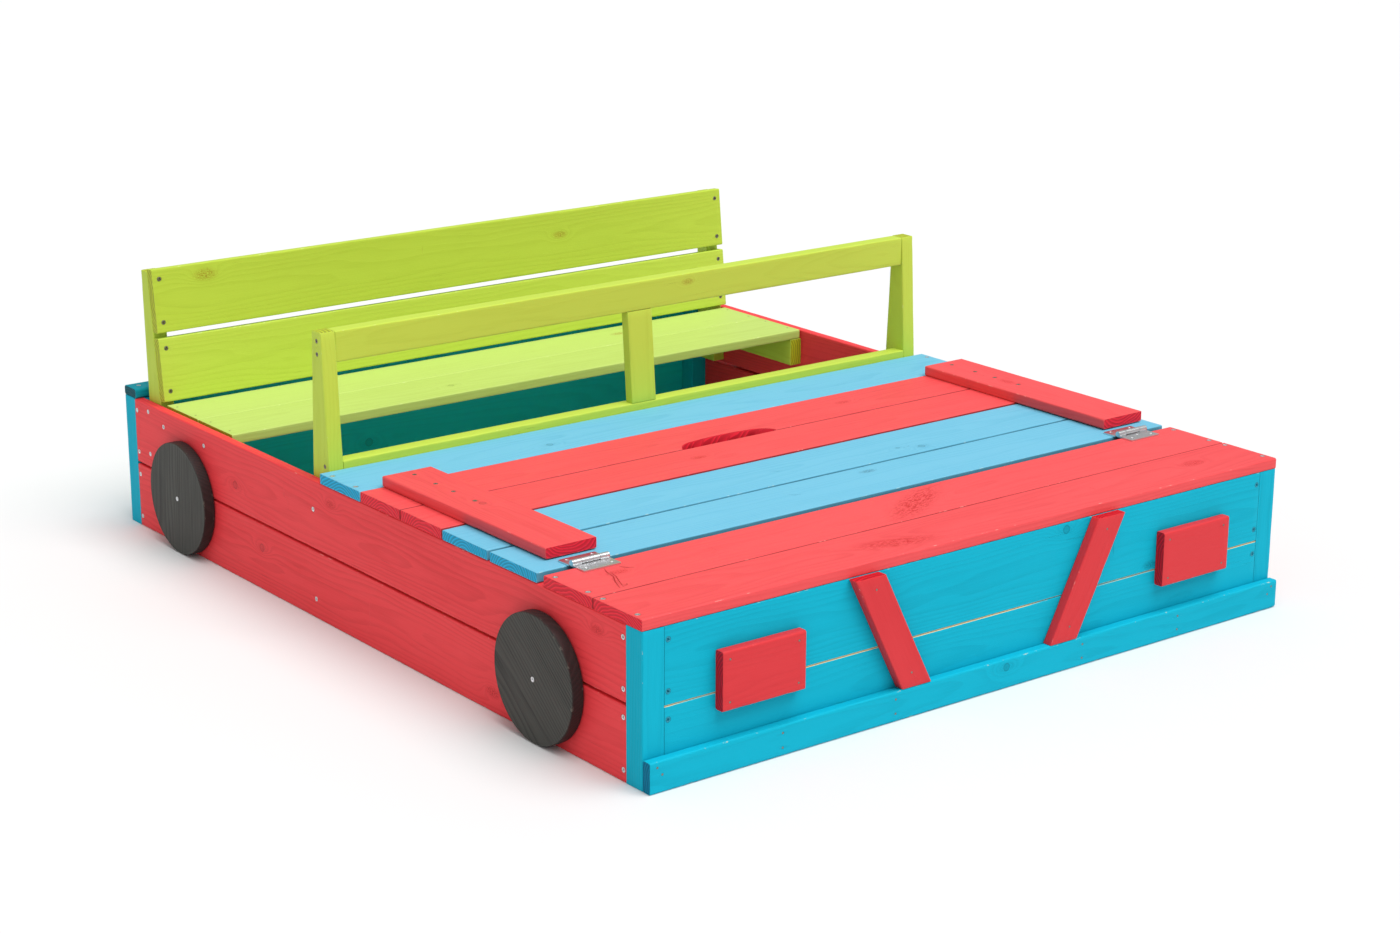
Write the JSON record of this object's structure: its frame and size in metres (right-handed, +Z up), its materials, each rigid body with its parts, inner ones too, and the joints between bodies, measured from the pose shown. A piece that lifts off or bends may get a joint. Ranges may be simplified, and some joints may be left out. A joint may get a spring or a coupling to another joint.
{
  "type": "children's wooden sandbox with hinged cover",
  "caption": "Wooden garden sandbox shaped like a car, with a deck, a hinged lid, a windshield frame, a bench with backrest and turning disc wheels.",
  "frame": {"origin": "on the ground, in the middle of the bounding box", "axes": "+Z up, -Y towards the front of the car, +X to the right of someone who faces +Y"},
  "size_m": [1.241, 1.4536, 0.443],
  "materials": {
    "red_paint": "painted softwood, satin",
    "blue_paint": "painted softwood, satin",
    "green_paint": "painted softwood, satin",
    "wheel_wood": "dark stained wood, satin",
    "zinc_steel": "bright zinc plating",
    "dark_steel": "dull dark coating"
  },
  "bodies": {
    "box": {"backrest_board_lower": "green_paint", "backrest_board_upper": "green_paint", "backrest_screws": "dark_steel", "backrest_upright_left": "green_paint", "backrest_upright_right": "green_paint", "brads": "dark_steel", "bumper_board": "blue_paint", "corner_post_front_left": "blue_paint", "corner_post_front_right": "blue_paint", "corner_post_rear_left": "blue_paint", "corner_post_rear_right": "blue_paint", "dashboard_board": "blue_paint", "deck_board_front": "red_paint", "deck_board_rear": "red_paint", "end_wall_screws": "zinc_steel", "front_wall_board_lower": "blue_paint", "front_wall_board_upper": "blue_paint", "grille_bar_left": "red_paint", "grille_bar_right": "red_paint", "headlight_left": "red_paint", "headlight_right": "red_paint", "hinge_deck_leaf_left": "zinc_steel", "hinge_deck_leaf_right": "zinc_steel", "hinge_deck_screws": "zinc_steel", "hinge_pins": "zinc_steel", "left_wall_board_lower": "red_paint", "left_wall_board_upper": "red_paint", "rear_wall_board_lower": "blue_paint", "rear_wall_board_upper": "blue_paint", "rear_wall_cap": "blue_paint", "right_wall_board_lower": "red_paint", "right_wall_board_upper": "red_paint", "seat_board_front": "green_paint", "seat_board_rear": "green_paint", "seat_cleat_left": "green_paint", "seat_cleat_right": "green_paint", "side_wall_screws": "zinc_steel", "top_screws": "zinc_steel", "wheel_screws": "zinc_steel", "windshield_middle_post": "green_paint", "windshield_post_left": "green_paint", "windshield_post_right": "green_paint", "windshield_screws": "dark_steel", "windshield_sill": "green_paint", "windshield_top_rail": "green_paint"},
    "lid": {"batten_screws": "dark_steel", "hinge_lid_leaf_left": "zinc_steel", "hinge_lid_leaf_right": "zinc_steel", "hinge_lid_screws": "zinc_steel", "lid_batten_left": "red_paint", "lid_batten_right": "red_paint", "lid_slat_front_blue": "blue_paint", "lid_slat_front_red": "red_paint", "lid_slat_rear_blue": "blue_paint", "lid_slat_rear_red": "red_paint", "slat_screws": "zinc_steel"},
    "wheel_front_left": {"wheel_front_left": "wheel_wood"},
    "wheel_front_right": {"wheel_front_right": "wheel_wood"},
    "wheel_rear_left": {"wheel_rear_left": "wheel_wood"},
    "wheel_rear_right": {"wheel_rear_right": "wheel_wood"}
  },
  "joints": [
    {"name": "lid_hinge", "type": "hinge", "parent": "box", "child": "lid", "pos_m": [0, -0.48475, 0.2395], "axis": [1, 0, 0], "range_deg": [0, 168]},
    {"name": "wheel_front_left_spin", "type": "hinge", "parent": "box", "child": "wheel_front_left", "pos_m": [-0.61, -0.49225, 0.0926], "axis": [1, 0, 0], "continuous": true},
    {"name": "wheel_front_right_spin", "type": "hinge", "parent": "box", "child": "wheel_front_right", "pos_m": [0.61, -0.49225, 0.0926], "axis": [1, 0, 0], "continuous": true},
    {"name": "wheel_rear_left_spin", "type": "hinge", "parent": "box", "child": "wheel_rear_left", "pos_m": [-0.61, 0.51675, 0.0926], "axis": [1, 0, 0], "continuous": true},
    {"name": "wheel_rear_right_spin", "type": "hinge", "parent": "box", "child": "wheel_rear_right", "pos_m": [0.61, 0.51675, 0.0926], "axis": [1, 0, 0], "continuous": true}
  ]
}
